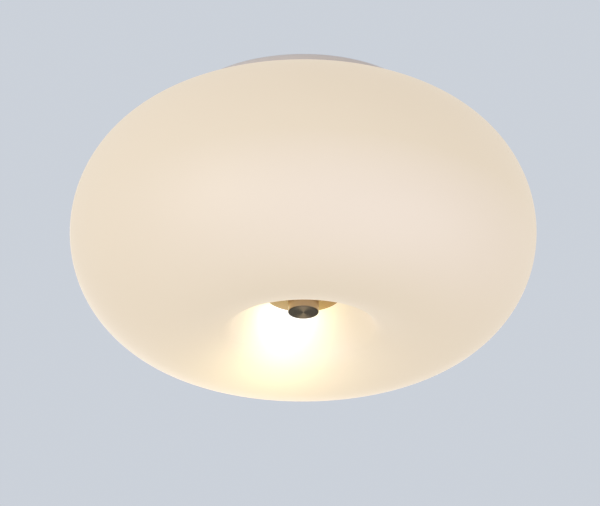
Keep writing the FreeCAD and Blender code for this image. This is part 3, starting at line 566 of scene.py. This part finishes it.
def lampBulb(letter):
    # a rolled-in top that sits inside the cap, the neck, a flare arc and the globe arc; the flare's
    # radius is (drop squared - globe squared + neck squared) / (2 x (globe - neck)), to meet the globe
    size = {
        "top": -33.2, "length": 105.0, "neck": 11.9, "globe": 30.0, "flareTop": 30.0, "neckTop": -49.7,
        "land": 0.7, "roll": 1.2, "globeStep": 2.5, "columns": 96,
    }
    neck, globe, neckTop, roll = size["neck"], size["globe"], size["neckTop"], size["roll"]
    globeHeight = size["top"] - size["length"] + globe
    flareHeight = size["top"] - size["flareTop"]
    drop = flareHeight - globeHeight
    flare = (drop ** 2 - globe ** 2 + neck ** 2) / (2 * (globe - neck))
    meet = math.degrees(math.atan2(drop, neck + flare))
    runs = [
        [(0.0, neckTop), (neck * size["land"], neckTop)],
        roundedEdge(neck - roll, neckTop - roll, roll, 90, 0),
        bend((neck + flare, flareHeight), flare, 180, 180 + meet),
        bend((0.0, globeHeight), globe, meet, -90, size["globeStep"]),
    ]
    mesh = turnedMesh(f"bulb_{letter}", runs, size["columns"], lampPlaces[letter], False)
    settle(f"bulb_{letter}", [f"lamp_bulb_{letter}"], mesh)


def screwCap(letter):
    # a thin cup: a rolled thread from the shoulder to the turned-out rim, and a plain wall inside;
    # the thread is root + depth x (1 - cos(full turn x height / pitch - angle)) / 2
    size = {
        "top": -38.7, "shoulder": -40.7, "threadEnd": -58.7, "bottom": -60.7,
        "crest": 13.1, "depth": 0.75, "pitch": 3.62, "lead": 2.4, "land": 10.2, "inside": 12.05,
        "rim": 13.4, "rimTop": 0.8, "rimEdge": 0.1, "sheet": 0.5,
        "columns": 72, "rows": 72, "smooth": 50.0,
    }
    top, shoulder, threadEnd = size["top"], size["shoulder"], size["threadEnd"]
    bottom, land, inside = size["bottom"], size["land"], size["inside"]
    rim, sheet = size["rim"], size["sheet"]
    root = size["crest"] - size["depth"]
    height = np.linspace(shoulder, threadEnd, size["rows"])[:, None]
    wave = 0.5 - 0.5 * np.cos(fullTurn * height / size["pitch"] - angles(size["columns"]))
    thread = root + size["depth"] * wave * fade(height, shoulder, threadEnd, size["lead"])
    head = np.array([(0.0, top), (land, top)])
    cup = np.array([
        (root, bottom + size["rimTop"]), (rim, bottom + size["rimEdge"]), (rim, bottom),
        (inside, bottom), (inside, shoulder), (land - sheet, top - sheet), (0.0, top - sheet),
    ])
    around = np.ones((1, size["columns"]))
    radius = np.concatenate([head[:, :1] * around, thread, cup[:, :1] * around])
    height = np.concatenate([head[:, 1:], height, cup[:, 1:]])
    mesh = ringMesh(f"screwCap_{letter}", radius, height, size["columns"], lampPlaces[letter])
    settle(f"screwCap_{letter}", [f"lamp_cap_{letter}"], mesh, size["smooth"])


print("lamps")
for letter in lampPlaces:
    lampBulb(letter)
    screwCap(letter)


def welded(name, bevel):
    # a merged copy of a CAD node, with its edges eased by a small bevel where one is given
    easing = {"smooth": 32.0, "segments": 2}
    mesh = cadNodes[name].data.copy()
    mesh.name = name + "Skin"
    thing = settle(name + "Skin", [name], mesh, easing["smooth"])
    if bevel:
        ease = thing.modifiers.new("ease", "BEVEL")
        ease.width = bevel
        ease.segments = easing["segments"]
        ease.limit_method = "ANGLE"
        ease.angle_limit = math.radians(easing["smooth"])
        ease.harden_normals = True


print("welded pieces")
easedNodes = {
    "terminal_block": 0.3 * mm, "lampholder_body_a": 0.5 * mm, "lampholder_body_b": 0.5 * mm,
    "rod_nut_upper": 0.15 * mm, "rod_nut_lower": 0.15 * mm, "bridge": 0.1 * mm,
    "centring_clips": 0.1 * mm,
}
standIns = {
    "glass_shade", "glass_dimple", "knob", "cover_plate", "rod",
    "lamp_bulb_a", "lamp_bulb_b", "lamp_cap_a", "lamp_cap_b",
}
for name in sorted(set(cadNodes) - standIns):
    welded(name, easedNodes.get(name, 0.0))


def stageFloor():
    # a pale paint, lifted to the backdrop's colour for camera rays alone, so that a shadow still shows
    room = {
        "floor": -7.0, "reach": 41.0, "colour": (0.80, 0.81, 0.83), "roughness": 0.8,
        "dark": 0.985, "clouds": 2.0, "detail": 2.0, "lift": (0.155, 0.19, 0.24),
    }
    paint = Finish("floorPaint", {"Roughness": room["roughness"]})
    clouds = paint.noise(room["clouds"], room["detail"])
    paint.feed("Base Color", paint.mix(clouds, tinted(room["colour"], room["dark"]), room["colour"]))
    paint.emit(paint.times(room["lift"], paint.node("ShaderNodeLightPath", out="Is Camera Ray")))
    mesh = bpy.data.meshes.new("floor")
    corners = [(x * room["reach"], y * room["reach"], room["floor"])
               for x, y in ((-1, -1), (1, -1), (1, 1), (-1, 1))]
    mesh.from_pydata(corners, [], [(0, 1, 2, 3)])
    mesh.materials.append(paint.material)
    floor = bpy.data.objects.new("floor", mesh)
    bpy.context.scene.collection.objects.link(floor)


def skyLight():
    # even light on the object; what the camera, metal and glass see is a pale backdrop
    sky = {"light": (0.56, 0.55, 0.55), "backdrop": (0.60, 0.64, 0.70)}
    world = bpy.data.worlds.new("studio")
    bpy.context.scene.world = world
    world.use_nodes = True
    shading = Shading(world.node_tree)
    seen = shading.node("ShaderNodeLightPath", out="Is Camera Ray")
    for other in ("Is Glossy Ray", "Is Transmission Ray"):
        seen = seen.join("MAXIMUM", seen, shading.node("ShaderNodeLightPath", out=other))
    light = shading.node("ShaderNodeBackground", sockets={"Color": sky["light"]})
    backdrop = shading.node("ShaderNodeBackground", sockets={"Color": sky["backdrop"]})
    both = shading.node("ShaderNodeMixShader", sockets={0: seen, 1: light, 2: backdrop})
    shading.show("ShaderNodeOutputWorld", both)


def aim(thing, azimuth, elevation, distance, roll=0.0):
    # looks at the shade's middle from that far away; azimuth 0 stands in front of it, on -Y;
    # way = (sin azimuth x cos elevation, -cos azimuth x cos elevation, sin elevation)
    turn, rise = math.radians(azimuth), math.radians(elevation)
    flat = math.cos(rise)
    way = Vector((math.sin(turn) * flat, -math.cos(turn) * flat, math.sin(rise)))
    look = (-way).to_track_quat("-Z", "Y").to_matrix() @ Matrix.Rotation(math.radians(roll), 3, "Z")
    thing.rotation_euler = look.to_euler()
    thing.location = Vector((0, 0, shade["equator"] * mm)) + way * distance
    bpy.context.scene.collection.objects.link(thing)


softboxes = {
    "keyBox": {"way": (-62.0, -22.0), "size": 2.0, "watts": 15.0, "tint": (1.0, 0.99, 0.97)},
    "fillBox": {"way": (48.0, -38.0), "size": 2.0, "watts": 9.0, "tint": (0.97, 0.98, 1.0)},
    "rimBox": {"way": (165.0, 12.0), "size": 1.8, "watts": 8.0, "tint": (1.0, 1.0, 1.0)},
}


def softbox(name, box, distance=2.4):
    # a round area lamp, that many metres from the shade's middle; its way is azimuth and elevation
    light = bpy.data.lights.new(name, "AREA")
    light.shape = "DISK"
    light.size = box["size"]
    light.energy = box["watts"]
    light.color = box["tint"]
    aim(bpy.data.objects.new(name, light), *box["way"], distance)


def photoCamera():
    # from the fit to the photo: the distance in half widths of the shade, the scale in pixels for one
    # half width, angles in degrees, and shifts and the picture's width in pixels
    shot = {
        "azimuth": -20.0, "elevation": -26.25, "distance": 20.0, "scale": 233.16, "roll": -0.13,
        "right": 3.19, "up": 18.08, "width": 600.0, "sensor": 36.0, "clipEnd": 100.0,
    }
    data = bpy.data.cameras.new("photoCamera")
    data.sensor_width = shot["sensor"]
    data.lens = shot["sensor"] * shot["scale"] * shot["distance"] / shot["width"]
    data.shift_x = -shot["right"] / shot["width"]
    data.shift_y = -shot["up"] / shot["width"]
    data.clip_end = shot["clipEnd"]
    camera = bpy.data.objects.new("photoCamera", data)
    distance = shade["half"] * mm * shot["distance"]
    aim(camera, shot["azimuth"], shot["elevation"], distance, shot["roll"])
    bpy.context.scene.camera = camera


print("studio")
stageFloor()
skyLight()
for name, box in softboxes.items():
    softbox(name, box)
photoCamera()
bpy.context.scene.view_settings.view_transform = "Standard"
